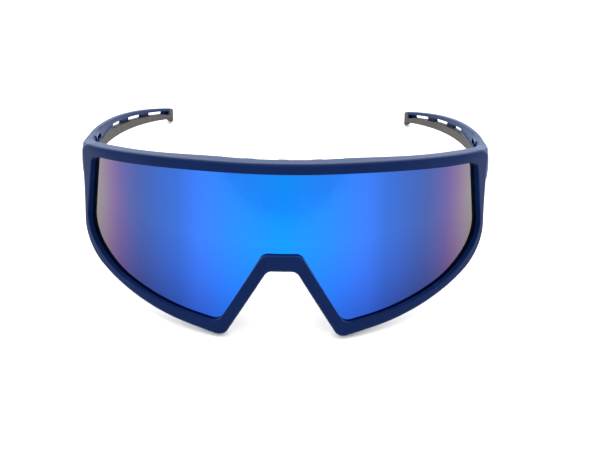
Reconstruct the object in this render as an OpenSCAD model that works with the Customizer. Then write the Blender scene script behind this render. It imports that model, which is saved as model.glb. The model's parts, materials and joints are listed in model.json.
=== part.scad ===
// Wraparound sport sunglasses: a full-rim shield front with a mirrored cylindrical lens,
// and two folding temples with slotted, rubber-gripped ends.
//
// Every piece is drawn in the wearing frame: x to the wearer's left, y to the back of the
// head, z up, the lens standing vertical with its front-most line at y = 0. stand() then tips
// the whole pair forward, so that it rests on the two lower corners of the rim and on both
// temple tips, with z = 0 at that flat surface.

/* [Lens] */
// Radius of the cylinder that the lens is cut from
lens_r = 88; // [84:1:95]
// Lens thickness
lens_t = 1.4; // [1.2:0.1:1.6]
// How far the lens reaches into its groove in the rim
lens_seat = 0.9; // [0.6:0.1:1]

/* [Rim] */
// How far the rim stands proud of the lens
rim_proud = 1.9; // [1.5:0.1:2.1]
// Depth of the rim behind the face of the lens, at the cheeks and nose
rim_back = 2.6; // [2.4:0.1:3]
// Extra depth of the brow bar along the top
brow_extra = 1.6; // [1.4:0.1:2]
// Further depth of the brow bar in its middle, where the vents are
brow_middle = 2.3; // [1.8:0.1:2.6]
// Play of the lens in its groove
groove_play = 0.1; // [0.05:0.01:0.15]

/* [Brow vents] */
// Number of vent slots in the brow bar
vent_count = 4; // [2:2:4]
// Length of one vent slot
vent_l = 8.6; // [6:0.2:9]
// Width of one vent slot
vent_w = 1.6; // [1:0.1:1.7]
// Distance between the centres of neighbouring vents
vent_pitch = 11.8; // [11:0.1:13]

/* [Hinge] */
// Distance of the hinge axis from the middle of the frame
hinge_x = 67.6; // [67.4:0.1:67.8]
// Distance of the hinge axis behind the face of the lens
hinge_y = 47.2; // [47:0.1:48]
// Outer radius of the hinge knuckles
knuckle_r = 2.7; // [2.5:0.1:2.8]
// Radius of the hinge screw
screw_r = 0.8; // [0.7:0.05:0.9]
// Running clearance round the hinge screw, on the radius
hinge_play = 0.04; // [0.03:0.01:0.06]

/* [Temples] */
// Distance of the temple's outer face from the middle, at the hinge
temple_x = 72.4; // [72.2:0.1:72.8]
// How far the temple curves inwards along its length
temple_wrap = 20.8; // [18:0.2:22]
// Distance of the temple tip behind the face of the lens
temple_end = 131; // [128:1:134]
// Thickness of the temple along its rear
temple_t = 2.6; // [2.5:0.1:3.2]
// Drop of the temple's top edge from the hinge to its tip
temple_drop = 7.9; // [7:0.1:9]
// Height of the temple at its tip, hook left out
tip_h = 4.5; // [4.3:0.1:5]
// How much taller the temple gets for each millimetre towards the hinge
temple_taper = 0.068; // [0.06:0.002:0.075]
// Length of one window slot in the temple
window_l = 11.4; // [9:0.2:12]

/* [Grips] */
// Where the rubber grip starts at the temple's lower edge, behind the face of the lens
grip_start = 64; // [63.5:0.5:66]
// How far the rubber reaches past the end of the temple's core
grip_cap = 3; // [2.5:0.1:4]
// Drop of the hook at the temple tip
hook = 1.3; // [1:0.1:1.6]

/* [Hidden] */
$fn = 64;

navy = "#1c2c55";
mirror_blue = "#2a8cf0";
rubber = "#3a3838";
steel = "#b9bcc2";
brass = "#c8a24c";

// Corners of half the rim: x, z, radius of the round and steps along it. The first list is the
// opening that the lens shows through and the second is the rim's outside. Both run from the
// brow round the cheek to the nose, corner for corner, and are mirrored for the other half.
opening_corners = [
    [32.7, 54.6, 400, 8], [65.3, 51.9, 3, 5], [68.6, 23.6, 16, 7], [58.9, 13.2, 30, 4],
    [42.6, 5.7, 100, 4], [21.2, 1.5, 4, 6], [6.5, 26.4, 3, 4]
];
outside_corners = [
    [40.5, 58.05, 400, 8], [70.2, 55, 3, 5], [69.3, 18.1, 18, 7], [58.8, 9.9, 50, 4],
    [44, 2.2, 95, 4], [19.3, -3.4, 3.5, 6], [4.8, 20.9, 3, 4]
];
straight_steps = 5;
groove_spare = 0.4;

// How far the deep middle of the brow reaches to each side and over what distance it fades out,
// where the brow itself starts above the cheeks, and how far behind the lens its vents are
middle_reach = 16;
middle_fade = 26;
brow_low = 46;
brow_fade = 6;
vent_behind = 3;

// Heights of the hinge: where the end piece and the three knuckles start and stop
end_low = 41.6;
lower_knuckle = [41.9, 44.5];
middle_knuckle = [44.7, 48];
upper_knuckle = [48.2, 50.5];
end_back = 44.2;
shut_gap = 0.2;
skin_t = 1.6;
roof_t = 3.4;
screw_head_r = 1.45;
screw_head_h = 1;
insert_r = 1.5;
body_start = hinge_y + knuckle_r + 0.4;

// Heights of the temple at its root, at the waist behind it, and where the rubber is fullest
root_h = 11.4;
waist_h = 5.8;
waist_y = 60;
belly_y = 71;

// Where the temple starts to curve inwards and over what length
wrap_start = 48;
wrap_span = 82;

// Top of the temple at the waist, where it starts to fall and over what length, and how far it
// rises again towards the end piece
temple_top = 52.9;
fall_start = 58;
fall_span = 70;
root_rise = 0.5;

// The root of the temple: where its full height ends, where its extra thickness ends, and that
// thickness. The outer face is fullest at crown_line of the height and falls back from there by
// crown_rise of the height at half a height away.
root_end = 50;
thick_end = 62;
root_extra_t = 1.4;
crown_rise = 0.0417;
crown_line = 0.56;

// Slanted front edge of the rubber: distance from the front, and down from the temple's top edge
slant = [[grip_start, 5.5], [75, 3.6], [78, 3.7]];
slant_end = 81;

// Pocket between the hinge and the rubber: start, end, floor, top edge and lower edge
pocket = [51.8, 63.5];
pocket_floor = 1.2;
pocket_top = 2;
pocket_low = [[pocket[0], 6.5], [56, 4.6], [pocket[1], 3.7]];

// Sizes in the section of the temple. The bar and the window channel take these shares of its
// height, and the rubber has the rest, less the shelf.
bar_share = 0.24;
window_share = 0.27;
floor_t = 1.1;
shelf_t = 0.3;
tongue_in = 0.35;
tongue_t = 1;
tongue_share = 0.35;
tongue_play = 0.05;
edge_round = 0.7;
window_ease = 0.1;
core_end = temple_end - grip_cap;
window_y = [86, 103.2, 119.8];
channel_start = 79;
channel_open = 81.5;
channel_end = core_end - 0.8;
bank_start = channel_open + 3;
bank_end = channel_end - 3;

// Nose clip: its face towards the frame, its thickness, and the radius of its two pegs
clip_front = 4.6;
clip_t = 1.4;
clip_peg_r = 0.9;

// The tilt that brings both resting points down to one flat surface: the heel of the hook at
// each temple tip, and the toe, which is the back edge of the rim's lower corner
heel_y = temple_end - 0.83;
heel_z = arm_top(temple_end - 0.5) - arm_h(temple_end - 0.5) - hook;
toe_y = 4.12;
toe_z = -2.95;
tilt = atan((heel_z - toe_z) / (heel_y - toe_y));
stand_z = toe_y * sin(tilt) - toe_z * cos(tilt);
stand_y = -68.82;

// Turns the wearing frame into the standing one, with the origin under the middle of the pair
module stand() {
    translate([0, stand_y, stand_z])
        rotate([-tilt, 0, 0])
            children();
}

// ---- Outlines ----

function unit(v) = v / norm(v);
function mix(a, b, t) = a * (1 - t) + b * t;

// The round at corner b between its neighbours a and c, from one tangent point to the other
function round_corner(a, b, c, r, steps) =
    let (
        to_a = unit(a - b),
        to_c = unit(c - b),
        half = acos(to_a * to_c) / 2,
        centre = b + unit(to_a + to_c) * r / sin(half),
        from = unit(b + to_a * r / tan(half) - centre),
        to = unit(b + to_c * r / tan(half) - centre),
        turn = 180 - 2 * half
    )
    [for (i = [0:steps]) centre + r * (from * sin(turn * (1 - i / steps))
        + to * sin(turn * i / steps)) / sin(turn)];

// A closed outline from half its corners: rounds joined by straights cut into equal steps
function closed_outline(half) =
    let (
        n = len(half),
        all = [for (c = half) c, for (i = [n - 1:-1:0]) [-half[i].x, half[i].y, half[i][2], half[i][3]]],
        flat = [for (c = all) [c.x, c.y]],
        rounds = [for (i = [0:2 * n - 1]) round_corner(flat[(i + 2 * n - 1) % (2 * n)], flat[i],
            flat[(i + 1) % (2 * n)], all[i][2], all[i][3])]
    )
    [for (i = [0:2 * n - 1])
        let (next = rounds[(i + 1) % (2 * n)][0], last = rounds[i][len(rounds[i]) - 1])
        each concat(rounds[i], [for (k = [1:straight_steps - 1]) mix(last, next, k / straight_steps)])];

opening = closed_outline(opening_corners);
outside = closed_outline(outside_corners);

// A point of the front face: p is x and z on the lens, d the distance out in front of the lens
function on_lens(p, d) =
    [(lens_r + d) * p.x / lens_r, lens_r - (lens_r + d) * sqrt(1 - pow(p.x / lens_r, 2)), p.y];

// A point of the rim's section at station i: a from the opening outwards, d out from the lens
function rim_width(i) = norm(outside[i] - opening[i]);
function rim_point(i, a, d) = on_lens(mix(opening[i], outside[i], a / rim_width(i)), d);

// The brow is deeper than the rest, fading in above the cheeks, and deepest in its middle
function rim_depth(i) =
    let (
        brow = outside[i].y > brow_low + brow_fade ? min(1, max(0, (opening[i].y - brow_low) / brow_fade)) : 0,
        middle = 1 - ease((abs(opening[i].x) - middle_reach) / middle_fade)
    )
    rim_back + brow * (brow_extra + brow_middle * middle);

// ---- Sweeps ----

function reversed(list) = [for (i = [len(list) - 1:-1:0]) list[i]];

// Skins a list of rings, each a list of the same number of points, running anticlockwise as
// seen along the sweep. A closed loop has no caps.
module skin(rings, loop = false) {
    n = len(rings);
    m = len(rings[0]);
    spans = loop ? n : n - 1;
    points = [for (ring = rings) each ring];
    sides = [for (i = [0:spans - 1], k = [0:m - 1])
        let (a = i * m + k, b = i * m + (k + 1) % m, c = ((i + 1) % n) * m + (k + 1) % m,
            d = ((i + 1) % n) * m + k)
        each [[a, b, c], [a, c, d]]];
    caps = loop ? [] : [[for (k = [m - 1:-1:0]) k], [for (k = [0:m - 1]) (n - 1) * m + k]];
    polyhedron(points, concat(sides, caps), convexity = 6);
}

// ---- Front ----

// The rim's section: a rounded bar with the lens groove cut in its inner wall
module rim_bar() {
    groove = lens_seat + groove_spare;
    skin([for (i = [0:len(opening) - 1])
        let (w = rim_width(i), back = rim_depth(i), p = rim_proud)
        [
            rim_point(i, 0.4, p), rim_point(i, w - 1.1, p), rim_point(i, w - 0.35, p - 0.35),
            rim_point(i, w, p - 1.1), rim_point(i, w, 0.9 - back), rim_point(i, w - 0.9, -back),
            rim_point(i, 0.5, -back), rim_point(i, 0, 0.5 - back),
            rim_point(i, 0, -lens_t - groove_play), rim_point(i, groove, -lens_t - groove_play),
            rim_point(i, groove, groove_play), rim_point(i, 0, groove_play), rim_point(i, 0, p - 0.4)
        ]], loop = true);
}

// Straight slot with round ends, along x and through in z
module slot(l, w, h) {
    cube([l - w, w, h], center = true);
    for (side = [-1, 1])
        translate([side * (l - w) / 2, 0, 0])
            cylinder(h = h, r = w / 2, center = true);
}

// Vents: through the brow bar from top to bottom, well behind the lens groove
module brow_vents() {
    vent_d = lens_t + vent_behind + vent_w / 2;
    for (i = [0:vent_count - 1]) {
        swing = (i - (vent_count - 1) / 2) * vent_pitch / lens_r * 180 / PI;
        translate([0, lens_r, 56.5])
            rotate([0, 0, swing])
                translate([0, vent_d - lens_r, 0])
                    slot(vent_l, vent_w, 12);
    }
}

// Outer face of the end piece and of the temple's root: crowned, fullest a little below its middle
function crown(down, h) = crown_rise * h * pow((down / h - crown_line) * 2, 2);

// The outer wall of the end piece: slices in plan, from the rim's corner back to the temple
module end_wall() {
    top = arm_top(end_back) + 1;
    h = top - end_low;
    skin(reversed([for (i = [0:10])
        let (z = end_low + h * i / 10, out = temple_x - crown(arm_top(end_back) - z, arm_h(end_back)))
        [
            [66.5, 32.1, z], [68.2, 32.6, z], [70.6, 34.6, z], [mix(70.9, out, 0.6), 36.6, z],
            [out, 40.5, z], [out, end_back, z], [temple_x - roof_t, end_back, z], [66, 38, z]
        ]]));
}

// The end piece from the side: the wall meets the temple at full height, and the block inside
// it slopes down to the knuckles
module end_side(top) {
    rotate([90, 0, 90])
        linear_extrude(height = 80)
            polygon([
                [30, 53], [34, 54.4], [end_back, top], [end_back, end_low], [40, end_low + 0.4],
                [34, 43], [30, 44]
            ]);
}

module end_block() {
    translate([0, 0, end_low])
        linear_extrude(height = 20)
            polygon([
                [hinge_x - knuckle_r, 32.3], [68.2, 32.9], [70.4, 34.8], [70.4, end_back],
                [hinge_x - knuckle_r, end_back]
            ]);
}

module end_piece() {
    intersection() {
        end_wall();
        end_side(arm_top(end_back));
    }
    intersection() {
        end_block();
        end_side(upper_knuckle[1]);
    }
    for (z = [lower_knuckle, upper_knuckle]) {
        translate([hinge_x, hinge_y, z[0]])
            cylinder(h = z[1] - z[0], r = knuckle_r);
        translate([hinge_x - knuckle_r, end_back - 1, z[0]])
            cube([2 * knuckle_r, hinge_y - end_back + 1, z[1] - z[0]]);
    }
}

// Bores for the screw and its head above, and for the brass insert below
module hinge_bores() {
    translate([hinge_x, hinge_y, end_low - 1]) {
        cylinder(h = 20, r = screw_r + hinge_play);
        cylinder(h = lower_knuckle[1] - end_low + 1.1, r = insert_r + 0.02);
    }
    translate([hinge_x, hinge_y, upper_knuckle[1] - screw_head_h])
        cylinder(h = 4, r = screw_head_r + 0.05);
}

module front_frame() {
    color(navy) stand() difference() {
        union() {
            rim_bar();
            for (side = [0, 1])
                mirror([side, 0, 0])
                    end_piece();
        }
        for (side = [0, 1])
            mirror([side, 0, 0]) {
                hinge_bores();
                clip_peg(clip_peg_r + 0.05, 0.2);
            }
        brow_vents();
    }
}

// Edge of the lens, seated in the groove. Its right half runs over the top to the widest point
// and back along the bottom, so each chain has one height for each x.
lens_outline = [for (i = [0:len(opening) / 2 - 1]) mix(opening[i], outside[i], lens_seat / rim_width(i))];
lens_reach = max([for (p = lens_outline) p.x]);
widest = [for (i = [0:len(lens_outline) - 1]) if (lens_outline[i].x == lens_reach) i][0];
lens_over = [for (i = [0:widest]) lens_outline[i]];
lens_under = [for (i = [widest:len(lens_outline) - 1]) lens_outline[i]];
lens_steps = 60;

// Upright strips of the lens, closer together towards the sides, where its edge turns steep
module shield_lens() {
    color(mirror_blue) stand() skin([for (i = [-lens_steps:lens_steps])
        let (
            x = lens_reach * (1 - pow(1 - abs(i) / lens_steps, 1.6)) * 0.9995,
            side = sign(i) * x,
            low = [side, lookup(x, lens_under)],
            high = [side, lookup(x, lens_over)]
        )
        [on_lens(low, 0), on_lens(high, 0), on_lens(high, -lens_t), on_lens(low, -lens_t)]
    ]);
}

// ---- Nose ----

// Peg that snaps the clip into the back of the bridge
module clip_peg(r, extra) {
    translate([3.2, clip_front + 0.1, 23.6])
        rotate([90, 0, 0])
            cylinder(h = 3.1 + extra, r = r);
}

// Stiff saddle behind the nose arch: a bridge with two legs that follow the rim
module nose_clip() {
    color(rubber) stand() {
        translate([0, clip_front + clip_t, 0])
            rotate([90, 0, 0])
                linear_extrude(height = clip_t)
                    polygon([
                        [-5.5, 26.4], [5.5, 26.4], [17.6, 5.6], [14.6, 5.2], [5.2, 21.2],
                        [-5.2, 21.2], [-14.6, 5.2], [-17.6, 5.6]
                    ]);
        for (side = [0, 1])
            mirror([side, 0, 0])
                clip_peg(clip_peg_r, 0);
    }
}

// Soft pad on the left leg of the clip, opening out towards the face
module nose_pad() {
    r = 1.3;
    corners = [[7.6, 19.4, 7.4], [16, 6.6, 7.4], [10.2, 18, 13], [19.5, 6.4, 13.5], [13.5, 10, 14]];
    hull()
        for (c = corners)
            translate([c[0], c[2], c[1]])
                sphere(r = r, $fn = 24);
}

module nose_pad_left() {
    color(rubber) stand() nose_pad();
}

module nose_pad_right() {
    color(rubber) stand() mirror([1, 0, 0]) nose_pad();
}

// ---- Temples ----

// Outer face of the temple in plan, and its slope
function arm_x(y) = temple_x - temple_wrap * pow(max(0, y - wrap_start) / wrap_span, 2);
function arm_slope(y) = -2 * temple_wrap * max(0, y - wrap_start) / pow(wrap_span, 2);

// Top edge, height and thickness along the temple. It is deep at the hinge, waisted behind it,
// fullest where the rubber starts and slim towards the tip.
function ease(t) = let (u = min(1, max(0, t))) u * u * (3 - 2 * u);
function arm_top(y) =
    temple_top - temple_drop * pow(max(0, y - fall_start) / fall_span, 2)
    + root_rise * pow(max(0, fall_start - y) / (fall_start - end_back), 2);
function taper_h(y) = tip_h + temple_taper * (temple_end - y);
function arm_h(y) =
    y > belly_y ? taper_h(y)
    : y > waist_y ? mix(waist_h, taper_h(belly_y), ease((y - waist_y) / (belly_y - waist_y)))
    : mix(waist_h, root_h, pow((waist_y - max(y, root_end)) / (waist_y - root_end), 1.8));
function arm_t(y) =
    temple_t + root_extra_t * pow(max(0, thick_end - max(y, root_end)) / (thick_end - root_end), 1.5);

// Down from the top edge: where the window channel starts and stops, and where the hard core
// ends and the rubber starts. The rubber comes up in front of the first window, and its edge
// slants down from there to the temple's lower edge.
function channel_top(y) = bar_share * arm_h(y);
function channel_foot(y) = (bar_share + window_share) * arm_h(y);
function core_h(y) =
    y > slant_end ? channel_foot(y) + shelf_t
    : lookup(y, concat(slant, [[slant_end, channel_foot(slant_end) + shelf_t]]));
function tongue_h(y) = tongue_share * (arm_h(y) - core_h(y));

// A point of the temple: a in from the outer face, down from the top edge
function arm_point(y, a, down) =
    let (n = unit([-1, arm_slope(y)]))
    [arm_x(y) + a * n.x, y + a * n.y, arm_top(y) - down];

function steps_between(from, to, n) = [for (i = [0:n]) from + (to - from) * i / n];

// Outer face of the temple's section, down to foot
function outer_side(y, e, foot) =
    [for (s = [0:4]) let (down = e + (foot - 2 * e) * s / 4) arm_point(y, crown(down, arm_h(y)), down)];

// Section of the temple at y, t thick, with edges eased by e
function blade_ring(y, t, e) =
    let (h = arm_h(y), over = crown(0, h), under = crown(h, h))
    concat(
        [arm_point(y, over + e, 0)],
        outer_side(y, e, h),
        [
            arm_point(y, under + e, h), arm_point(y, t - e, h), arm_point(y, t, h - e),
            arm_point(y, t, h / 2), arm_point(y, t, e), arm_point(y, t - e, 0)
        ]
    );

// Section under the grip: the bar and window strip, and a thin tongue below for the rubber
function core_ring(y) =
    let (t = arm_t(y), s = tongue_in, e = edge_round, top = core_h(y), foot = top + tongue_h(y))
    concat(
        [arm_point(y, crown(0, arm_h(y)) + e, 0)],
        [for (k = [0:4])
            let (down = e + (top - e) * k / 4) arm_point(y, crown(down, arm_h(y)), down)],
        [
            arm_point(y, s, top), arm_point(y, s, foot), arm_point(y, s + tongue_t, foot),
            arm_point(y, s + tongue_t, top), arm_point(y, t, top), arm_point(y, t - e, 0)
        ]
    );

// Outer skin over the hinge, then the solid blade, then the core that carries the grip
module arm_blade() {
    skin(reversed(concat(
        [for (y = [end_back + shut_gap, body_start]) blade_ring(y, skin_t, 0.4)],
        [for (y = steps_between(body_start + 0.05, grip_start, 10)) blade_ring(y, arm_t(y), edge_round)],
        [for (y = steps_between(grip_start + 0.05, core_end, 26)) core_ring(y)]
    )));
}

// Thicker top of the skin, above the knuckles
module arm_roof() {
    low = arm_top(hinge_y) - upper_knuckle[1] - 0.4;
    skin(reversed([for (y = [end_back + shut_gap, body_start + 0.5])
        [
            arm_point(y, skin_t / 2, edge_round), arm_point(y, skin_t / 2, low),
            arm_point(y, roof_t, low), arm_point(y, roof_t, 0.4), arm_point(y, roof_t - 0.4, 0),
            arm_point(y, crown(0, arm_h(y)) + 0.5, 0)
        ]]));
}

// Channel along the inner face, which the windows open into. The rubber closes its lower side.
module window_channel() {
    skin(reversed([for (y = steps_between(channel_start, channel_end, 24))
        let (low = y < channel_open ? channel_foot(y) : core_h(y) + tongue_play)
        [
            arm_point(y, floor_t, channel_top(y)), arm_point(y, floor_t, low),
            arm_point(y, temple_t + 1, low), arm_point(y, temple_t + 1, channel_top(y))
        ]]));
}

// Window slots through the temple, square to its outer face and level with its top edge
module windows() {
    for (y = window_y) {
        fall = atan(2 * temple_drop * (y - fall_start) / pow(fall_span, 2));
        rise = atan(temple_taper * (channel_top(y) + channel_foot(y)) / 2 / arm_h(y));
        translate(arm_point(y, temple_t / 2, (channel_top(y) + channel_foot(y)) / 2))
            rotate([0, 0, atan(-arm_slope(y))])
                rotate([rise - fall, 0, 0])
                    rotate([0, 90, 0])
                        rotate([0, 0, 90])
                            slot(window_l, window_share * arm_h(y + window_l / 2) - window_ease, 8);
    }
}

// Pocket in the inner face between the hinge and the grip
module hinge_pocket() {
    skin(reversed([for (y = steps_between(pocket[0], pocket[1], 6))
        let (low = lookup(y, pocket_low), mouth = arm_t(y) + 1, draft = 0.2)
        [
            arm_point(y, pocket_floor, pocket_top), arm_point(y, pocket_floor, low),
            arm_point(y, mouth, low + draft), arm_point(y, mouth, pocket_top - draft)
        ]]));
}

// The middle knuckle, and the web that joins it to the skin and to the blade behind it
module arm_hinge() {
    knuckle_h = middle_knuckle[1] - middle_knuckle[0];
    reach = temple_x - hinge_x - 0.4;
    translate([hinge_x, hinge_y, middle_knuckle[0]]) {
        cylinder(h = knuckle_h, r = knuckle_r);
        translate([0, -knuckle_r, 0])
            cube([reach, 2 * knuckle_r, knuckle_h]);
        translate([-1, 0, 0])
            cube([reach + 1, body_start - hinge_y + 1, knuckle_h]);
    }
}

module temple() {
    difference() {
        union() {
            arm_blade();
            arm_roof();
            arm_hinge();
        }
        window_channel();
        windows();
        hinge_pocket();
        translate([hinge_x, hinge_y, middle_knuckle[0] - 1])
            cylinder(h = 10, r = screw_r + hinge_play);
    }
}

module temple_left() {
    color(navy) stand() temple();
}

module temple_right() {
    color(navy) stand() mirror([1, 0, 0]) temple();
}

// ---- Grips ----

// Channel section of rubber round the tongue, with an inner bank up to the foot of the windows
function grip_ring(y) =
    let (
        t = arm_t(y), h = arm_h(y), e = min(edge_round, (h - core_h(y)) / 2),
        top = core_h(y) + tongue_play, foot = top + tongue_h(y),
        from = tongue_in - tongue_play, to = tongue_in + tongue_t + tongue_play,
        banked = y > bank_start && y < bank_end,
        bank = banked ? channel_foot(y) : top - tongue_play / 2,
        bank_in = banked ? floor_t + tongue_play : to + tongue_play,
        bank_low = banked ? top - tongue_play : top
    )
    [
        arm_point(y, crown(top, h), top), arm_point(y, crown(h - e, h), h - e),
        arm_point(y, e + crown(h, h), h), arm_point(y, t - e, h), arm_point(y, t, h - e),
        arm_point(y, t, bank), arm_point(y, bank_in, bank), arm_point(y, bank_in, bank_low),
        arm_point(y, to, bank_low), arm_point(y, to, foot), arm_point(y, from, foot),
        arm_point(y, from, top)
    ];

// Full section of the cap: drop is how far the hook hangs and inset how far the end is rounded
function cap_ring(y, drop, inset) =
    let (t = arm_t(y), h = arm_h(y) + drop - inset, e = edge_round + inset, i = inset + 0.1)
    [
        arm_point(y, i, e), arm_point(y, i, h - edge_round), arm_point(y, e, h),
        arm_point(y, t - e, h), arm_point(y, t - i, h - edge_round), arm_point(y, t - i, e),
        arm_point(y, t - e, inset), arm_point(y, t * 0.65, inset), arm_point(y, t * 0.55, inset),
        arm_point(y, t * 0.45, inset), arm_point(y, t * 0.35, inset), arm_point(y, e, inset)
    ];

// Rubber round the lower edge of the temple, closing over the end of its core with a hook below
module temple_grip() {
    skin(reversed(concat(
        [for (y = steps_between(grip_start + 0.1, core_end + tongue_play, 26)) grip_ring(y)],
        [for (k = [0:4])
            let (y = core_end + 0.1 + (grip_cap - 0.6) * k / 4)
            cap_ring(y, hook * (1 - pow(1 - k / 4, 2)), 0)],
        [cap_ring(temple_end, hook, 0.5)]
    )));
}

module temple_grip_left() {
    color(rubber) stand() temple_grip();
}

module temple_grip_right() {
    color(rubber) stand() mirror([1, 0, 0]) temple_grip();
}

// ---- Hinge hardware ----

// Slotted screw from above, through the temple's knuckle, into the insert
module hinge_screw() {
    foot = lower_knuckle[0] + 0.3;
    head = upper_knuckle[1] - screw_head_h;
    translate([hinge_x, hinge_y, 0])
        difference() {
            union() {
                translate([0, 0, foot])
                    cylinder(h = head - foot + 0.2, r = screw_r);
                translate([0, 0, head + 0.02])
                    cylinder(h = screw_head_h - 0.1, r = screw_head_r);
            }
            translate([-2, -0.2, head + 0.5])
                cube([4, 0.4, 2]);
        }
}

// Brass bush pressed into the lower knuckle, which the screw threads into
module hinge_insert() {
    translate([hinge_x, hinge_y, lower_knuckle[0]])
        difference() {
            cylinder(h = lower_knuckle[1] - lower_knuckle[0] - 0.1, r = insert_r);
            translate([0, 0, -1])
                cylinder(h = 6, r = screw_r + 0.02);
        }
}

module hinge_screw_left() {
    color(steel) stand() hinge_screw();
}

module hinge_screw_right() {
    color(steel) stand() mirror([1, 0, 0]) hinge_screw();
}

module hinge_insert_left() {
    color(brass) stand() hinge_insert();
}

module hinge_insert_right() {
    color(brass) stand() mirror([1, 0, 0]) hinge_insert();
}

front_frame();
shield_lens();
nose_clip();
nose_pad_left();
nose_pad_right();
temple_left();
temple_right();
temple_grip_left();
temple_grip_right();
hinge_screw_left();
hinge_screw_right();
hinge_insert_left();
hinge_insert_right();
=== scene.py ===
"""Wraparound sport sunglasses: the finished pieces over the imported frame, and the studio."""

import json
import math

import bmesh
import bpy
from mathutils import Matrix, Vector


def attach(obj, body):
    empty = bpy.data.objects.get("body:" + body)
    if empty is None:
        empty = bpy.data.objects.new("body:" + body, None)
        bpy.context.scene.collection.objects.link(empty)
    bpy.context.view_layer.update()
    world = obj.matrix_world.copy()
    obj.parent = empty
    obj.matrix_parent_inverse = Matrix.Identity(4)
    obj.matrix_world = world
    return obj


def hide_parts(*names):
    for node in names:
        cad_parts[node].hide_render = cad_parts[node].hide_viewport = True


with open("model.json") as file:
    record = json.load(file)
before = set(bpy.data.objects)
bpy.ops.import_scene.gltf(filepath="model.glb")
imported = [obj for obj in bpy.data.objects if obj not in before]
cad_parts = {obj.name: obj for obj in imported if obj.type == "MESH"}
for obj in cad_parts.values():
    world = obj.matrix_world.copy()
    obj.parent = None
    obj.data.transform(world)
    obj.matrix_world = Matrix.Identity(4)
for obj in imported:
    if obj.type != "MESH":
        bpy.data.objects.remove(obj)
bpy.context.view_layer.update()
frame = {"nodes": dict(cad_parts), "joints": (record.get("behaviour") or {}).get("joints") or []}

# ---- The wearing frame ----
# Lengths below are in millimetres, in the frame that the glasses are worn in: x to the wearer's
# left, y to the back of the head, z up. The left hinge's axis and place put it in the row frame.

MM = 0.001
FOLD = next(j for j in frame["joints"] if j["name"] == "left_temple_fold")
HINGE = Vector((67.6, 47.2, 46.35))
RIGHT = Vector((1, 0, 0))
UP = Vector(FOLD["axis"]).normalized()
BACK = UP.cross(RIGHT)
ORIGIN = Vector(FOLD["pos_m"]) - MM * (HINGE.x * RIGHT + HINGE.y * BACK + HINGE.z * UP)


def direction(x, y, z):
    """A direction given in the wearing frame, in the row frame."""
    return x * RIGHT + y * BACK + z * UP


def place(x, y, z):
    """A point given in the wearing frame in millimetres, in the row frame in metres."""
    return ORIGIN + MM * direction(x, y, z)


# ---- Driving sizes ----

LENS_R = 88
LENS_T = 1.4
LENS_SEAT = 0.9
RIM_PROUD = 1.9
RIM_BACK = 2.6
BROW_EXTRA = 1.6
BROW_MIDDLE = 2.3
BROW_LOW = 46
BROW_FADE = 6
MIDDLE_REACH = 16
MIDDLE_FADE = 26
VENT_COUNT = 4
VENT_L = 8.6
VENT_W = 1.6
VENT_BEHIND = 3
VENT_PITCH = 11.8
SHELL_GAP = 0.05
SMOOTH_ANGLE = 32

# Half the rim's corners: x, z, radius of the round. Opening, then outside, corner for corner.
OPENING = [
    (32.7, 54.6, 400), (65.3, 51.9, 3), (68.6, 23.6, 16), (58.9, 13.2, 30),
    (42.6, 5.7, 100), (21.2, 1.5, 4), (6.5, 26.4, 3),
]
OUTSIDE = [
    (40.5, 58.05, 400), (70.2, 55, 3), (69.3, 18.1, 18), (58.8, 9.9, 50),
    (44, 2.2, 95), (19.3, -3.4, 3.5), (4.8, 20.9, 3),
]
ROUND_STEPS = [24, 10, 16, 8, 10, 12, 10]
STRAIGHT_STEPS = 8

END_LOW = 41.6
END_BACK = 44.2
KNUCKLE_R = 2.7
KNUCKLES = {"lower": (41.9, 44.5), "middle": (44.7, 48), "upper": (48.2, 50.5)}
SKIN_T = 1.6
ROOF_T = 3.4
SHUT_GAP = 0.2

TEMPLE_X = 72.4
TEMPLE_TOP = 52.9
TEMPLE_WRAP = 20.8
WRAP_START = 48
WRAP_SPAN = 82
TEMPLE_DROP = 7.9
FALL_START = 58
FALL_SPAN = 70
ROOT_RISE = 0.5
ROOT_SPAN = 14
TEMPLE_END = 131
TEMPLE_T = 2.6
TEMPLE_TAPER = 0.068
TIP_H = 4.5
ROOT_H = 11.4
ROOT_END = 50
ROOT_EXTRA_T = 1.4
THICK_END = 62
CROWN_RISE = 0.0417
CROWN_LINE = 0.56
WAIST_H = 5.8
WAIST_Y = 60
BELLY_Y = 71
BAR_SHARE = 0.24
WINDOW_SHARE = 0.27
WINDOW_L = 11.4
WINDOW_Y = [86, 103.2, 119.8]
FLOOR_T = 1.1
SHELF_T = 0.3
CHANNEL = (79, 127.2)
BANK = (84.5, 124.2)
BANK_FADE = 1.5
POCKET = (51.8, 63.5)
POCKET_FLOOR = 1.2
POCKET_TOP = 2
GRIP_START = 64
SLANT_END = 81
GRIP_CAP = 3
HOOK = 1.3
CORE_END = TEMPLE_END - GRIP_CAP
BODY_START = HINGE.y + KNUCKLE_R + 0.4


# ---- Outlines and sections ----


def clamp(value, low=0.0, high=1.0):
    return max(low, min(high, value))


def ease(t):
    """Smooth step from 0 to 1."""
    t = clamp(t)
    return t * t * (3 - 2 * t)


def mix(a, b, t):
    return a + (b - a) * t


def round_corner(a, b, c, radius, steps):
    """Points of the round at corner b between its neighbours, from one tangent to the other."""
    to_a, to_c = (a - b).normalized(), (c - b).normalized()
    half = to_a.angle(to_c) / 2
    centre = b + (to_a + to_c).normalized() * radius / math.sin(half)
    start = (b + to_a * radius / math.tan(half) - centre).normalized()
    end = (b + to_c * radius / math.tan(half) - centre).normalized()
    turn = math.pi - 2 * half
    return [
        centre + radius * (start * math.sin(turn * (1 - i / steps)) + end * math.sin(turn * i / steps))
        / math.sin(turn)
        for i in range(steps + 1)
    ]


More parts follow.
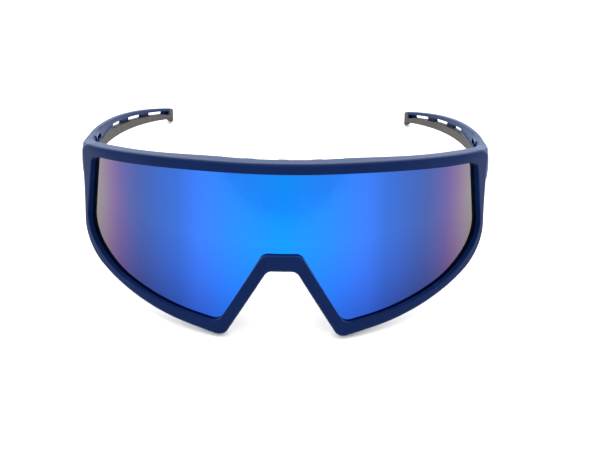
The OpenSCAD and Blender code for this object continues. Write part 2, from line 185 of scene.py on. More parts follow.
def rounded_polygon(corners, steps, straight=1):
    """A closed outline of rounds joined by straights. corners holds x, y and radius."""
    flat = [Vector(c[:2]) for c in corners]
    n = len(flat)
    rounds = [
        round_corner(flat[i - 1], flat[i], flat[(i + 1) % n], corners[i][2], steps[i])
        if corners[i][2] else [flat[i]]
        for i in range(n)
    ]
    outline = []
    for i in range(n):
        last, following = rounds[i][-1], rounds[(i + 1) % n][0]
        outline += rounds[i]
        outline += [last.lerp(following, k / straight) for k in range(1, straight)]
    return outline


def mirrored_outline(half):
    corners = list(half) + [(-x, z, r) for x, z, r in reversed(half)]
    return rounded_polygon(corners, ROUND_STEPS + ROUND_STEPS[::-1], STRAIGHT_STEPS)


opening = mirrored_outline(OPENING)
outside = mirrored_outline(OUTSIDE)


def on_lens(p, d):
    """Row-frame point over the lens: p is x and z on its face, d the distance out in front."""
    reach = LENS_R + d
    return place(reach * p.x / LENS_R, LENS_R - reach * math.sqrt(1 - (p.x / LENS_R) ** 2), p.y)


# ---- Mesh building ----


def make_object(name, verts, faces, smooth_angle=SMOOTH_ANGLE):
    mesh = bpy.data.meshes.new(name)
    mesh.from_pydata([tuple(v) for v in verts], [], faces)
    bm = bmesh.new()
    bm.from_mesh(mesh)
    bmesh.ops.remove_doubles(bm, verts=bm.verts, dist=1e-7)
    bmesh.ops.recalc_face_normals(bm, faces=bm.faces)
    bm.to_mesh(mesh)
    bm.free()
    piece = bpy.data.objects.new(name, mesh)
    bpy.context.scene.collection.objects.link(piece)
    smooth(piece, smooth_angle)
    return piece


def smooth(piece, angle):
    piece.data.shade_smooth()
    piece.data.set_sharp_from_angle(angle=math.radians(angle))


def loft_faces(count, size, loop, start=0):
    """Quads between rings of equal size, with end caps unless the rings close on themselves."""
    faces = []
    for i in range(count if loop else count - 1):
        j = (i + 1) % count
        for k in range(size):
            m = (k + 1) % size
            near, far = start + i * size, start + j * size
            faces.append((near + k, near + m, far + m, far + k))
    if not loop:
        faces.append(tuple(start + k for k in reversed(range(size))))
        faces.append(tuple(start + (count - 1) * size + k for k in range(size)))
    return faces


def loft(name, rings, loop=False, smooth_angle=SMOOTH_ANGLE):
    verts = [v for ring in rings for v in ring]
    return make_object(name, verts, loft_faces(len(rings), len(rings[0]), loop), smooth_angle)


def join(name, objects):
    """One object from several, for solids that are moulded as one piece."""
    bm = bmesh.new()
    for o in objects:
        bm.from_mesh(o.data)
        bpy.data.objects.remove(o)
    mesh = bpy.data.meshes.new(name)
    bm.to_mesh(mesh)
    bm.free()
    piece = bpy.data.objects.new(name, mesh)
    bpy.context.scene.collection.objects.link(piece)
    smooth(piece, SMOOTH_ANGLE)
    return piece


def combine(piece, tool, operation):
    """Boolean of piece with tool, applied, and the tool removed."""
    modifier = piece.modifiers.new(operation.lower(), "BOOLEAN")
    modifier.operation = operation
    modifier.solver = "EXACT"
    modifier.use_self = True
    modifier.object = tool
    evaluated = piece.evaluated_get(bpy.context.evaluated_depsgraph_get())
    mesh = bpy.data.meshes.new_from_object(evaluated)
    piece.modifiers.clear()
    piece.data = mesh
    bpy.data.objects.remove(tool)
    smooth(piece, SMOOTH_ANGLE)


def weighted(piece):
    """Keeps flat faces flat in the shading, between their rounded edges."""
    modifier = piece.modifiers.new("weighted", "WEIGHTED_NORMAL")
    modifier.keep_sharp = True
    modifier.weight = 60


def mirror_copy(piece, name):
    """The same piece for the other side."""
    twin = bpy.data.objects.new(name, piece.data.copy())
    twin.data.transform(Matrix.Diagonal((-1, 1, 1, 1)))
    twin.data.flip_normals()
    bpy.context.scene.collection.objects.link(twin)
    for modifier in piece.modifiers:
        if modifier.type == "WEIGHTED_NORMAL":
            weighted(twin)
    return twin


# ---- Materials ----


class Shader:
    """A node material built step by step, in object space and millimetres."""

    def __init__(self, name, **values):
        self.material = bpy.data.materials.new(name)
        self.material.use_nodes = True
        self.tree = self.material.node_tree
        self.surface = self.tree.nodes["Principled BSDF"]
        for socket, value in values.items():
            self.surface.inputs[socket.replace("_", " ")].default_value = value
        coordinates = self.tree.nodes.new("ShaderNodeTexCoord")
        scale = self.tree.nodes.new("ShaderNodeVectorMath")
        scale.operation = "SCALE"
        scale.inputs["Scale"].default_value = 1 / MM
        self.tree.links.new(coordinates.outputs["Object"], scale.inputs[0])
        self.place = scale.outputs[0]

    def link(self, output, socket):
        self.tree.links.new(output, socket)

    def set(self, name, output):
        """Feeds the named input of the surface."""
        self.link(output, self.surface.inputs[name])

    def noise(self, per_mm, detail=2.0, roughness=0.5):
        node = self.tree.nodes.new("ShaderNodeTexNoise")
        node.inputs["Scale"].default_value = per_mm
        node.inputs["Detail"].default_value = detail
        node.inputs["Roughness"].default_value = roughness
        self.link(self.place, node.inputs["Vector"])
        return node.outputs["Fac"]

    def math(self, operation, a, b=0.0):
        node = self.tree.nodes.new("ShaderNodeMath")
        node.operation = operation
        for socket, value in zip(node.inputs, (a, b)):
            if isinstance(value, (int, float)):
                socket.default_value = value
            else:
                self.link(value, socket)
        return node.outputs[0]

    def fit(self, value, low, high, to_low, to_high):
        node = self.tree.nodes.new("ShaderNodeMapRange")
        self.link(value, node.inputs["Value"])
        for name, number in zip(("From Min", "From Max", "To Min", "To Max"), (low, high, to_low, to_high)):
            node.inputs[name].default_value = number
        return node.outputs["Result"]

    def ramp(self, value, stops):
        node = self.tree.nodes.new("ShaderNodeValToRGB")
        elements = node.color_ramp.elements
        while len(elements) < len(stops):
            elements.new(0.5)
        for element, (position, colour) in zip(elements, stops):
            element.position = position
            element.color = (*colour, 1)
        self.link(value, node.inputs["Fac"])
        return node.outputs["Color"]

    def multiply(self, a, b):
        node = self.tree.nodes.new("ShaderNodeMix")
        node.data_type = "RGBA"
        node.blend_type = "MULTIPLY"
        node.inputs["Factor"].default_value = 1
        self.link(a, node.inputs["A"])
        self.link(b, node.inputs["B"])
        return node.outputs["Result"]

    def bump(self, height, distance, strength=1.0):
        node = self.tree.nodes.new("ShaderNodeBump")
        node.inputs["Distance"].default_value = distance * MM
        node.inputs["Strength"].default_value = strength
        self.link(height, node.inputs["Height"])
        self.link(node.outputs["Normal"], self.surface.inputs["Normal"])

    def edges(self):
        """Factor for the painted edge highlight: high where an edge is convex."""
        node = self.tree.nodes.new("ShaderNodeNewGeometry")
        return self.fit(node.outputs["Pointiness"], 0.5, 0.62, 0, 1)

    def axes(self):
        node = self.tree.nodes.new("ShaderNodeSeparateXYZ")
        self.link(self.place, node.inputs[0])
        return node.outputs


def srgb(*values):
    """Linear colour of an 8-bit sRGB one."""
    return tuple((v / 255 / 12.92) if v <= 10 else ((v / 255 + 0.055) / 1.055) ** 2.4 for v in values)


def moulded_plastic(name, dark, light, painted_edge_highlight, roughness):
    """Satin moulded plastic: fine spark-eroded grain, faint flow marks, and a painted highlight on convex
    edges.
    """
    shader = Shader(
        name, Roughness=roughness, Specular_IOR_Level=0.06, Sheen_Weight=0.42, Sheen_Roughness=0.3,
        Sheen_Tint=(0.4, 0.6, 1, 1),
    )
    flow = shader.ramp(shader.noise(0.12, 3), [(0.35, dark), (0.65, light)])
    # Painted highlight: convex edges are mixed towards the lighter edge colour.
    node = shader.tree.nodes.new("ShaderNodeMix")
    node.data_type = "RGBA"
    shader.link(shader.edges(), node.inputs["Factor"])
    shader.link(flow, node.inputs["A"])
    node.inputs["B"].default_value = (*painted_edge_highlight, 1)
    shader.set("Base Color", node.outputs["Result"])
    grain = shader.noise(3.2, 3, 0.6)
    shader.set("Roughness", shader.fit(grain, 0.3, 0.7, roughness - 0.05, roughness + 0.06))
    shader.bump(grain, 0.012, 0.5)
    return shader.material


def soft_rubber(name, dark, light):
    """Matt rubber with a sandy grain and a little bloom."""
    shader = Shader(name, Roughness=0.7, Specular_IOR_Level=0.35)
    shader.set("Base Color", shader.ramp(shader.noise(0.4, 4), [(0.3, dark), (0.7, light)]))
    grain = shader.noise(5, 4, 0.7)
    shader.set("Roughness", shader.fit(grain, 0.3, 0.7, 0.6, 0.8))
    shader.bump(grain, 0.03, 0.6)
    return shader.material


def turned_metal(name, dark, light, roughness):
    """Small machined metal part with fine turning marks."""
    shader = Shader(name, Metallic=1.0, Roughness=roughness)
    shader.set("Base Color", shader.ramp(shader.noise(6, 2), [(0.3, dark), (0.7, light)]))
    shader.set("Roughness", shader.fit(shader.noise(9, 2), 0.3, 0.7, roughness - 0.08, roughness + 0.1))
    shader.bump(shader.noise(14, 1), 0.01, 0.4)
    return shader.material


# Colour of the mirror coating at each distance from the middle of the lens
COATING = [
    (0, srgb(16, 124, 222)), (14, srgb(32, 114, 218)), (28, srgb(48, 98, 196)),
    (35, srgb(46, 87, 168)), (45, srgb(52, 78, 143)), (49, srgb(58, 76, 132)),
    (52.5, srgb(70, 76, 130)), (56, srgb(86, 76, 124)), (59.5, srgb(102, 86, 119)),
    (63, srgb(112, 101, 115)), (67, srgb(112, 112, 96)),
]


def mirror_coating(name):
    """Interference coating: blue in the middle, violet then grey where the lens turns away."""
    shader = Shader(name, Metallic=1.0, Roughness=0.07)
    reach = COATING[-1][0]
    across = shader.math("ABSOLUTE", shader.axes()[0])
    band = shader.ramp(shader.math("DIVIDE", across, reach), [(x / reach, colour) for x, colour in COATING])
    # The coating colour is multiplied darker towards the bottom of the lens.
    height = shader.fit(shader.axes()[2], 8, 50, 0, 1)
    depth = shader.ramp(
        height, [(0, (0.66, 0.56, 0.68)), (0.3, (0.86, 0.8, 0.88)), (0.6, (1, 1, 1)), (1, (1, 1, 1))]
    )
    shader.set("Base Color", shader.multiply(band, depth))
    haze = shader.noise(0.25, 4, 0.6)
    shader.set("Roughness", shader.fit(haze, 0.35, 0.75, 0.05, 0.1))
    return shader.material


def smoked_back(name):
    """Inner side of the lens: dark smoke-grey gloss."""
    shader = Shader(name, Roughness=0.1, Specular_IOR_Level=0.5)
    tint = [(0.3, (0.012, 0.013, 0.016)), (0.7, (0.018, 0.02, 0.024))]
    shader.set("Base Color", shader.ramp(shader.noise(0.05, 2), tint))
    shader.set("Roughness", shader.fit(shader.noise(0.3, 3), 0.3, 0.7, 0.06, 0.13))
    return shader.material


# The third colour of each plastic is its painted edge highlight on convex edges.
NAVY = moulded_plastic(
    "navy_plastic", (0.0002, 0.007, 0.046), (0.0004, 0.0085, 0.054), (0.002, 0.016, 0.08), 0.42
)
BLACK = moulded_plastic(
    "black_plastic", (0.006, 0.006, 0.008), (0.009, 0.009, 0.011), (0.02, 0.02, 0.024), 0.45
)
GRIP = soft_rubber("grip_rubber", (0.045, 0.039, 0.037), (0.06, 0.053, 0.05))
PAD = soft_rubber("pad_rubber", (0.018, 0.018, 0.019), (0.028, 0.027, 0.028))
STEEL = turned_metal("screw_steel", (0.42, 0.43, 0.45), (0.62, 0.63, 0.65), 0.3)
BRASS = turned_metal("insert_brass", (0.5, 0.34, 0.12), (0.68, 0.48, 0.2), 0.32)
MIRROR = mirror_coating("mirror_coating")
SMOKE = smoked_back("smoked_back")


def finish_piece(piece, material, body, node):
    piece.data.materials.append(material)
    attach(piece, body)
    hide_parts(node)


# ---- Front ----


def rim_depth(i):
    """Depth of the rim behind the lens at station i: deeper along the brow, deepest in its middle."""
    brow = clamp((opening[i].y - BROW_LOW) / BROW_FADE) * (outside[i].y > BROW_LOW + BROW_FADE)
    middle = 1 - ease((abs(opening[i].x) - MIDDLE_REACH) / MIDDLE_FADE)
    return RIM_BACK + brow * (BROW_EXTRA + BROW_MIDDLE * middle)


def rim_ring(i):
    """Section of the rim at station i: a rounded bar with the lens groove in its inner wall."""
    inner, outer = opening[i], outside[i]
    width = (outer - inner).length
    back = rim_depth(i)
    seat, front_wall, rear_wall = LENS_SEAT + 0.3, SHELL_GAP, -LENS_T - SHELL_GAP
    section = rounded_polygon(
        [
            (0, RIM_PROUD, 0.3), (width, RIM_PROUD, 1.4), (width, -back, 1.8), (0, -back, 0.6),
            (0, rear_wall, 0), (seat, rear_wall, 0), (seat, front_wall, 0), (0, front_wall, 0),
        ],
        [4, 7, 7, 4, 1, 1, 1, 1],
    )
    return [on_lens(inner.lerp(outer, p.x / width), p.y) for p in section]


def slot_outline(length, width, steps=10):
    """Half-round ended slot along x, centred."""
    reach = (length - width) / 2
    right = [(reach + width / 2 * math.cos(a), width / 2 * math.sin(a)) for a in arc(-90, 90, steps)]
    left = [(-x, -y) for x, y in right]
    return right + left


def arc(start, end, steps):
    return [math.radians(start + (end - start) * i / steps) for i in range(steps + 1)]


def brow_vent_cutter():
    verts, faces = [], []
    depth = LENS_T + VENT_BEHIND + VENT_W / 2
    for i in range(VENT_COUNT):
        swing = (i - (VENT_COUNT - 1) / 2) * VENT_PITCH / LENS_R
        outline = slot_outline(VENT_L, VENT_W)
        start = len(verts)
        for z in (50, 63):
            for x, y in outline:
                across, away = x, y + depth - LENS_R
                verts.append(place(
                    across * math.cos(swing) - away * math.sin(swing),
                    LENS_R + across * math.sin(swing) + away * math.cos(swing), z,
                ))
        faces += loft_faces(2, len(outline), False, start)
    return make_object("vents", verts, faces)


def wall_ring(y, outer, inner, low, high, edge):
    """Section of the end piece at y: a crowned outer face, a flat inner one and eased edges."""
    full = arm_h(END_BACK)
    levels = [mix(high - edge - 0.05, low + edge + 0.05, i / 8) for i in range(9)]

    def face(z):
        return outer - crown(arm_top(END_BACK) - z, full)

    corners = [(face(high), high, edge)] + [(face(z), z, 0) for z in levels]
    corners += [(face(low), low, edge), (inner, low, 0.4), (inner, high, 0.4)]
    steps = [5] + [1] * len(levels) + [5, 3, 3]
    return [place(p.x, y, p.y) for p in rounded_polygon(corners, steps)]


def end_top(y, top):
    """Top of the end piece: the rim's at its start, the temple's at its end."""
    return lookup(y, [(30, 53), (34, 54.35), (END_BACK, top)])


def end_low(y):
    return lookup(y, [(30, 44.2), (34, 43.1), (40, END_LOW + 0.45), (END_BACK, END_LOW + 0.02)])


def end_wall():
    """Outer wall of the end piece, from the rim's corner back to the temple."""
    outers = [
        (32.6, 68.1), (34.6, 70.5), (36.6, 71.6), (38.6, 72.05), (40.5, TEMPLE_X), (END_BACK, TEMPLE_X),
    ]
    inners = [(33, 66.7), (38, 66.1), (END_BACK, TEMPLE_X - ROOF_T)]
    top = arm_top(END_BACK)
    return loft("end_wall", [
        wall_ring(y, lookup(y, outers) - 0.01, lookup(y, inners), end_low(y), end_top(y, top), 0.7)
        for y in spread(32.8, END_BACK - 0.02, 24)
    ])


def end_block():
    """Block inside the wall that carries the knuckles."""
    outers = [(33, 68.3), (34.8, 70.3), (END_BACK, 70.3)]
    inner, top = HINGE.x - KNUCKLE_R + 0.02, KNUCKLES["upper"][1]
    return loft("end_block", [
        wall_ring(y, lookup(y, outers), inner, end_low(y) + 0.05, end_top(y, top) - 0.02, 0.5)
        for y in spread(33, END_BACK - 0.02, 12)
    ])


def turned(name, x, y, profile, steps=40):
    """Solid of revolution about an upright line: profile holds radius and height."""
    rings = [
        [place(x + r * math.cos(a), y + r * math.sin(a), z) for a in arc(0, 360 - 360 / steps, steps - 1)]
        for r, z in profile
    ]
    return loft(name, rings)


def knuckle_profile(low, high):
    """Profile of a solid knuckle with eased edges."""
    radius, edge = KNUCKLE_R, 0.25
    return [(radius - edge, low), (radius, low + edge), (radius, high - edge), (radius - edge, high)]


def block(name, x, y, z, edge=0.3):
    """Eased box between the given pairs of limits."""
    rings = []
    for height, inset in ((z[0], edge), (z[0] + edge, 0), (z[1] - edge, 0), (z[1], edge)):
        corners = [
            (x[i] + inset * (1 - 2 * i), y[j] + inset * (1 - 2 * j), edge)
            for i, j in ((0, 0), (1, 0), (1, 1), (0, 1))
        ]
        plan = rounded_polygon(corners, [3] * 4)
        rings.append([place(p.x, p.y, height) for p in plan])
    return loft(name, rings)


def frame_knuckles():
    parts = []
    for name in ("lower", "upper"):
        low, high = KNUCKLES[name]
        parts.append(turned("knuckle", HINGE.x, HINGE.y, knuckle_profile(low, high)))
        reach = (HINGE.x - KNUCKLE_R, HINGE.x + KNUCKLE_R)
        parts.append(block("web", reach, (END_BACK - 1, HINGE.y), (low, high)))
    return parts


def front():
    rim = loft("front_rim", [rim_ring(i) for i in range(len(opening))], loop=True)
    combine(rim, brow_vent_cutter(), "DIFFERENCE")
    ends = join("end", [end_wall(), end_block()] + frame_knuckles())
    other = mirror_copy(ends, "other_end")
    piece = join("front_rim_and_ends", [rim, ends, other])
    weighted(piece)
    finish_piece(piece, NAVY, "front", "front_frame")


def lens_edge_chains():
    """Upper and lower edge of the right half of the lens, as lists of x and z."""
    half = []
    for i in range(len(opening) // 2):
        width = (outside[i] - opening[i]).length
        half.append(opening[i].lerp(outside[i], LENS_SEAT / width))
    widest = max(range(len(half)), key=lambda i: half[i].x)
    return half[: widest + 1], half[widest:][::-1]


def height_at(chain, x):
    for a, b in zip(chain, chain[1:]):
        if a.x <= x <= b.x:
            return mix(a.y, b.y, (x - a.x) / max(b.x - a.x, 1e-9))
    return chain[0].y if x < chain[0].x else chain[-1].y


def lens():
    over, under = lens_edge_chains()
    reach = over[-1].x
    steps, rows = 110, 12
    verts, columns = [], []
    for i in range(-steps, steps + 1):
        x = reach * (1 - (1 - abs(i) / steps) ** 1.6) * 0.9995
        low, high = height_at(under, x), height_at(over, x)
        side = math.copysign(x, i)
        column = []
        for depth in (0, -LENS_T):
            for k in range(rows + 1):
                column.append(len(verts))
                verts.append(on_lens(Vector((side, mix(low, high, k / rows))), depth))
        columns.append(column)
    size = rows + 1
    faces = []
    for a, b in zip(columns, columns[1:]):
        for k in range(rows):
            faces.append((a[k], b[k], b[k + 1], a[k + 1]))
            faces.append((a[size + k], a[size + k + 1], b[size + k + 1], b[size + k]))
        faces.append((a[0], a[size], b[size], b[0]))
        faces.append((a[rows], b[rows], b[size + rows], a[size + rows]))
    for column in (columns[0], columns[-1]):
        for k in range(rows):
            faces.append((column[k], column[k + 1], column[size + k + 1], column[size + k]))
    piece = make_object("shield_lens_mirror", verts, faces, 25)
    finish_piece(piece, MIRROR, "front", "shield_lens")
    piece.data.materials.append(SMOKE)
    for polygon in piece.data.polygons:
        if polygon.normal.dot(BACK) > 0.2:
            polygon.material_index = 1


# ---- Nose ----


def nose_pad():
    """Soft teardrop pad, opening out towards the face."""
    top, bottom = Vector((8.6, 7.2, 19.6)), Vector((17.4, 7.4, 6.4))
    rings = []
    count = 14
    for i in range(count + 1):
        t = i / count
        spine = top.lerp(bottom, t)
        swell = math.sqrt(max(0.02, 1 - (2 * t - 1) ** 4))
        depth = mix(5.6, 7.4, t) * swell
        thick = 1.25 * swell
        ring = []
        for a in arc(0, 360 - 15, 23):
            along, across = math.cos(a), math.sin(a)
            flare = 0.34 * (along + 1) * depth / 2
            ring.append(place(
                spine.x + across * thick + flare - 0.4 * (1 - swell),
                spine.y + (along + 1) * depth / 2 - 1.1 * swell,
                spine.z - 0.25 * across * thick,
            ))
        rings.append(ring)
    return loft("nose_pad_soft_left", rings, smooth_angle=80)


def nose():
    left = nose_pad()
    right = mirror_copy(left, "nose_pad_soft_right")
    finish_piece(left, PAD, "front", "nose_pad_left")
    finish_piece(right, PAD, "front", "nose_pad_right")


# ---- Temples ----


def arm_x(y):
    """Outer face of the temple in plan."""
    return TEMPLE_X - TEMPLE_WRAP * (max(0, y - WRAP_START) / WRAP_SPAN) ** 2


def arm_slope(y):
    return -2 * TEMPLE_WRAP * max(0, y - WRAP_START) / WRAP_SPAN**2


def arm_top(y):
    """Top edge of the temple: it falls to the tip, and rises a little to the end piece."""
    fall = TEMPLE_DROP * (max(0, y - FALL_START) / FALL_SPAN) ** 2
    return TEMPLE_TOP - fall + ROOT_RISE * (max(0, FALL_START - y) / ROOT_SPAN) ** 2


def taper_h(y):
    return TIP_H + TEMPLE_TAPER * (TEMPLE_END - y)


def arm_h(y):
    """Height of the temple: deep at the hinge, waisted behind it and slim at the tip."""
    if y > BELLY_Y:
        return taper_h(y)
    if y > WAIST_Y:
        return mix(WAIST_H, taper_h(BELLY_Y), ease((y - WAIST_Y) / (BELLY_Y - WAIST_Y)))
    return mix(WAIST_H, ROOT_H, ((WAIST_Y - max(y, ROOT_END)) / (WAIST_Y - ROOT_END)) ** 1.8)


def arm_t(y):
    """Thickness of the temple, with more at the hinge."""
    extra = max(0, THICK_END - max(y, ROOT_END)) / (THICK_END - ROOT_END)
    return TEMPLE_T + ROOT_EXTRA_T * extra**1.5


def crown(down, h):
    """How far the outer face falls back from its fullest line, which is a little below its middle."""
    return CROWN_RISE * h * ((down / h - CROWN_LINE) * 2) ** 2


def channel_top(y):
    return BAR_SHARE * arm_h(y)


def channel_foot(y):
    return (BAR_SHARE + WINDOW_SHARE) * arm_h(y)


def core_h(y):
    """Down from the top edge to where the rubber starts."""
    if y > SLANT_END:
        return channel_foot(y) + SHELF_T
    end = channel_foot(SLANT_END) + SHELF_T
    return lookup(y, [(GRIP_START, 5.5), (75, 3.6), (78, 3.7), (SLANT_END, end)])


def lookup(x, table):
    """Value at x on the straights between the table's points."""
    for (a, p), (b, q) in zip(table, table[1:]):
        if x <= b:
            return mix(p, q, clamp((x - a) / (b - a)))
    return table[-1][1]


def arm_point(y, a, down):
    """Point of the temple: a in from its outer face, down from its top edge."""
    inward = Vector((-1, arm_slope(y))).normalized()
    return place(arm_x(y) + a * inward.x, y + a * inward.y, arm_top(y) - down)


def arm_ring(y, corners, steps):
    return [arm_point(y, p.x, p.y) for p in rounded_polygon(corners, steps)]


def spread(start, end, count):
    return [mix(start, end, i / count) for i in range(count + 1)]


def outer_side(y, foot, top_e, foot_e, count=6):
    """Points down the crowned outer face, from the rounding of its top edge to that of its foot."""
    h = arm_h(y)
    return [
        (crown(down, h), down, 0)
        for down in spread(top_e + 0.1, foot - foot_e - 0.1, count)
    ]


def bar_ring(y, thickness, foot, top_e=0.8, foot_e=0.8):
    """Section of the temple at y, from its top edge down to foot."""
    h = arm_h(y)
    corners = [(crown(0, h), 0, top_e)] + outer_side(y, foot, top_e, foot_e)
    corners += [(crown(foot, h), foot, foot_e), (thickness, foot, foot_e), (thickness, 0, top_e)]
    steps = [5] + [1] * (len(corners) - 4) + [5] * 3
    return arm_ring(y, corners, steps)


def temple_blade():
    skin_end = END_BACK + SHUT_GAP
    rings = [bar_ring(y, SKIN_T, arm_h(y), 0.45, 0.45) for y in (skin_end, skin_end + 0.3, BODY_START)]
    rings += [bar_ring(y, arm_t(y), arm_h(y)) for y in spread(BODY_START + 0.05, GRIP_START, 20)]
    rings += [bar_ring(y, arm_t(y), core_h(y), 0.7, 0.12) for y in spread(GRIP_START + 0.05, CORE_END, 90)]
    return loft("temple_blade", rings)


def temple_roof():
    """Thicker top of the outer skin, above the knuckles."""
    low = arm_top(HINGE.y) - KNUCKLES["upper"][1] - 0.4
    return loft("roof", [
        arm_ring(
            y, [(0.45, 0, 0.4), (SKIN_T / 2, low, 0.1), (ROOF_T, low, 0.3), (ROOF_T, 0, 0.8)], [4, 1, 3, 5]
        )
        for y in spread(END_BACK + SHUT_GAP, BODY_START + 0.6, 6)
    ])


def window_channel():
    """Recess along the inner face that the windows open into. The rubber closes its lower side."""
    rings, mouth = [], 4
    for y in spread(*CHANNEL, 60):
        top, low = channel_top(y), mix(channel_foot(y), core_h(y) + 0.05, ease((y - SLANT_END) / 2))
        corners = [(FLOOR_T, top, 0.15), (FLOOR_T, low, 0.05), (mouth, low, 0.2), (mouth, top, 0.2)]
        rings.append(arm_ring(y, corners, [2] * 4))
    return loft("channel", rings)


def windows():
    verts, faces = [], []
    outline = slot_outline(WINDOW_L, 2, 12)
    for y in WINDOW_Y:
        start = len(verts)
        stretch = 1 / math.hypot(1, arm_slope(y))
        for a in (-2, 5):
            for along, rise in outline:
                at = y + along * stretch
                middle = (channel_top(at) + channel_foot(at)) / 2
                verts.append(arm_point(at, a, middle - rise * (WINDOW_SHARE * arm_h(at) - 0.1) / 2))
        faces += loft_faces(2, len(outline), False, start)
    return make_object("windows", verts, faces)


def hinge_pocket():
    """Recess in the inner face between the hinge and the rubber."""
    rings = []
    deep, top, draft = POCKET_FLOOR, POCKET_TOP, 0.2
    for y in spread(*POCKET, 14):
        low = lookup(y, [(POCKET[0], 6.5), (56, 4.6), (POCKET[1], 3.7)])
        mouth = arm_t(y) + 1
        corners = [
            (deep, top, 0.3), (deep, low, 0.3), (mouth, low + draft, 0.3), (mouth, top - draft, 0.3),
        ]
        rings.append(arm_ring(y, corners, [3] * 4))
    return loft("pocket", rings)


def ridge():
    """Raised edge along the slanting front of the rubber."""
    rings = []
    start, end, point = 56.5, 79.2, 0.1
    for y in spread(start, end, 50):
        size = 0.55 * math.sqrt(clamp(min(y - start + point, end + point - y) / 1.2))
        down = lookup(y, [(start, 5.5), (GRIP_START, 4.9), (75, 3.1), (end, 2.6)])
        rings.append([
            arm_point(y, arm_t(y) - 0.1 + size * 0.7 * math.cos(a), down + size * math.sin(a))
            for a in arc(0, 330, 11)
        ])
    return loft("ridge", rings, smooth_angle=60)


def temple_knuckle():
    low, high = KNUCKLES["middle"]
    parts = [turned("knuckle", HINGE.x, HINGE.y, knuckle_profile(low, high))]
    outer = TEMPLE_X - 0.5
    parts.append(block("web", (HINGE.x, outer), (HINGE.y - KNUCKLE_R, HINGE.y + KNUCKLE_R), (low, high)))
    parts.append(block("web", (HINGE.x - 1, outer), (HINGE.y, BODY_START + 1), (low, high)))
    return parts


def temples():
    blade = temple_blade()
    combine(blade, temple_roof(), "UNION")
    combine(blade, window_channel(), "DIFFERENCE")
    combine(blade, windows(), "DIFFERENCE")
    combine(blade, hinge_pocket(), "DIFFERENCE")
    left = join("temple_arm_left", [blade, ridge()] + temple_knuckle())
    weighted(left)
    right = mirror_copy(left, "temple_arm_right")
    finish_piece(left, NAVY, "left_arm", "temple_left")
    finish_piece(right, NAVY, "right_arm", "temple_right")


# ---- Grips ----


def grip_ring(y, inset=0.0):
    """Section of the rubber along the temple's lower edge, banked up to the foot of the windows."""
    h = arm_h(y)
    top, foot, t = core_h(y) + 0.03 + inset, h - inset, arm_t(y) - inset
    edge = min(0.9, (foot - top) * 0.45)
    banked = ease((y - BANK[0] + BANK_FADE) / BANK_FADE) * ease((BANK[1] + BANK_FADE - y) / BANK_FADE)
    bank = mix(top - 0.01, channel_foot(y) + 0.02, banked)
    return arm_ring(
        y,
        [
            (crown(top, h) + inset, top, 0), (crown(foot, h) + inset, foot, edge), (t, foot, edge),
            (t, bank, 0), (FLOOR_T + 0.05, bank, 0), (FLOOR_T + 0.05, top, 0),
        ],
        [1, 6, 6, 1, 1, 1],
    )


def cap_ring(y, drop, inset):
    """Full section of the cap over the temple's end."""
    thickness = arm_t(y)
    foot = arm_h(y) + drop - inset
    side = inset + 0.1
    middle = thickness * 0.45
    return arm_ring(
        y,
        [
            (side, inset + 0.3, 0), (side, foot, 0.8), (thickness - side, foot, 0.8),
            (thickness - side, inset + 0.3, 0), (middle + 0.1, inset, 0), (middle, inset, 0),
        ],
        [1, 6, 6, 1, 1, 1],
    )


def grip():
    rings = [grip_ring(GRIP_START + 0.1, 0.35), grip_ring(GRIP_START + 0.2, 0.12)]
    rings += [grip_ring(y) for y in spread(GRIP_START + 0.45, CORE_END + 0.04, 90)]
    for k in range(9):
        t = k / 8
        rings.append(cap_ring(mix(CORE_END + 0.1, TEMPLE_END - 0.5, t), HOOK * (1 - (1 - t) ** 2), 0))
    rings.append(cap_ring(TEMPLE_END - 0.3, HOOK, 0.25))
    rings.append(cap_ring(TEMPLE_END - 0.05, HOOK, 0.6))
    return loft("temple_grip_soft_left", rings)


def grips():
    left = grip()
    weighted(left)
    right = mirror_copy(left, "temple_grip_soft_right")
    finish_piece(left, GRIP, "left_arm", "temple_grip_left")
    finish_piece(right, GRIP, "right_arm", "temple_grip_right")


# ---- Carried-over nodes ----


def carried(names, material):
    for name in names:
        node = frame["nodes"][name]
        node.data.materials.clear()
        node.data.materials.append(material)
        smooth(node, 30)


# ---- Studio ----


def floor():
    """Plain pale floor, with its top at the height that the pair stands on."""
    size, depth = 6.0, 0.01
    corners = ((-size, -size), (size, -size), (size, size), (-size, size))
    plane = loft("floor", [[Vector((x, y, z)) for x, y in corners] for z in (-depth, 0)])
    shader = Shader("floor_white", Roughness=0.9)
    whites = [(0.4, (0.9, 0.9, 0.9)), (0.6, (0.91, 0.91, 0.91))]
    shader.set("Base Color", shader.ramp(shader.noise(0.002, 1), whites))
    plane.data.materials.append(shader.material)


def area_light(name, location, target, size, power):
    data = bpy.data.lights.new(name, "AREA")
    data.shape = "RECTANGLE"
    data.size, data.size_y = size
    data.energy = power
    lamp = bpy.data.objects.new(name, data)
    lamp.location = location
    lamp.rotation_mode = "QUATERNION"
    lamp.rotation_quaternion = (Vector(target) - Vector(location)).to_track_quat("-Z", "Y")
    bpy.context.scene.collection.objects.link(lamp)


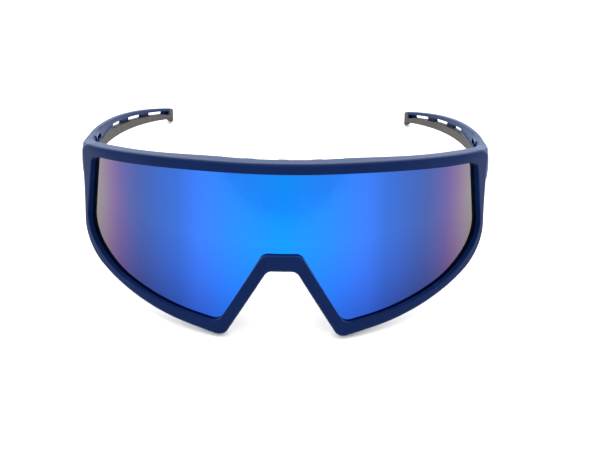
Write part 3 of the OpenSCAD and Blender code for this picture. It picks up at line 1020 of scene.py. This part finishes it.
def studio():
    """Soft light from all round, brighter behind the pair, and one broad lamp overhead."""
    world = bpy.data.worlds.new("studio")
    bpy.context.scene.world = world
    world.use_nodes = True
    background = world.node_tree.nodes["Background"]
    background.inputs["Color"].default_value = (1, 1, 1, 1)
    tree = world.node_tree
    axes = tree.nodes.new("ShaderNodeSeparateXYZ")
    tree.links.new(tree.nodes.new("ShaderNodeTexCoord").outputs["Generated"], axes.inputs[0])
    glow = tree.nodes.new("ShaderNodeMapRange")
    tree.links.new(axes.outputs["Y"], glow.inputs["Value"])
    for name, number in zip(("From Min", "From Max", "To Min", "To Max"), (-0.7, 0.8, 1.3, 2.6)):
        glow.inputs[name].default_value = number
    tree.links.new(glow.outputs["Result"], background.inputs["Strength"])
    area_light("overhead", (0, 0.5, 1.6), (0, 0, 0), (2.2, 1.6), 8)
    floor()
    bpy.context.scene.view_settings.view_transform = "Standard"


def camera():
    """The camera faces the lens from a little above it, as the pair stands tipped forward."""
    turn, rise, roll = math.radians(0.93), math.radians(18.9), math.radians(0.61)
    distance, target = 428.9, Vector((0, 20, 30))
    film, focal, shift = 36, 74.592, (0.028, 0.00117)
    away = Vector((math.sin(turn) * math.cos(rise), -math.cos(turn) * math.cos(rise), math.sin(rise)))
    across = (-away).cross(Vector((0, 0, 1))).normalized()
    upward = across.cross(-away)
    across, upward = (
        across * math.cos(roll) + upward * math.sin(roll),
        upward * math.cos(roll) - across * math.sin(roll),
    )
    data = bpy.data.cameras.new("camera")
    data.sensor_width, data.lens = film, focal
    data.shift_x, data.shift_y = shift
    data.clip_start, data.clip_end = 0.01, 50
    eye = bpy.data.objects.new("camera", data)
    basis = Matrix([direction(*v) for v in (across, upward, away)]).transposed().to_4x4()
    eye.matrix_world = Matrix.Translation(place(*(target + away * distance))) @ basis
    bpy.context.scene.collection.objects.link(eye)
    bpy.context.scene.camera = eye


camera()
studio()
front()
lens()
nose()
temples()
grips()
carried(["nose_clip"], BLACK)
carried(["hinge_screw_left", "hinge_screw_right"], STEEL)
carried(["hinge_insert_left", "hinge_insert_right"], BRASS)
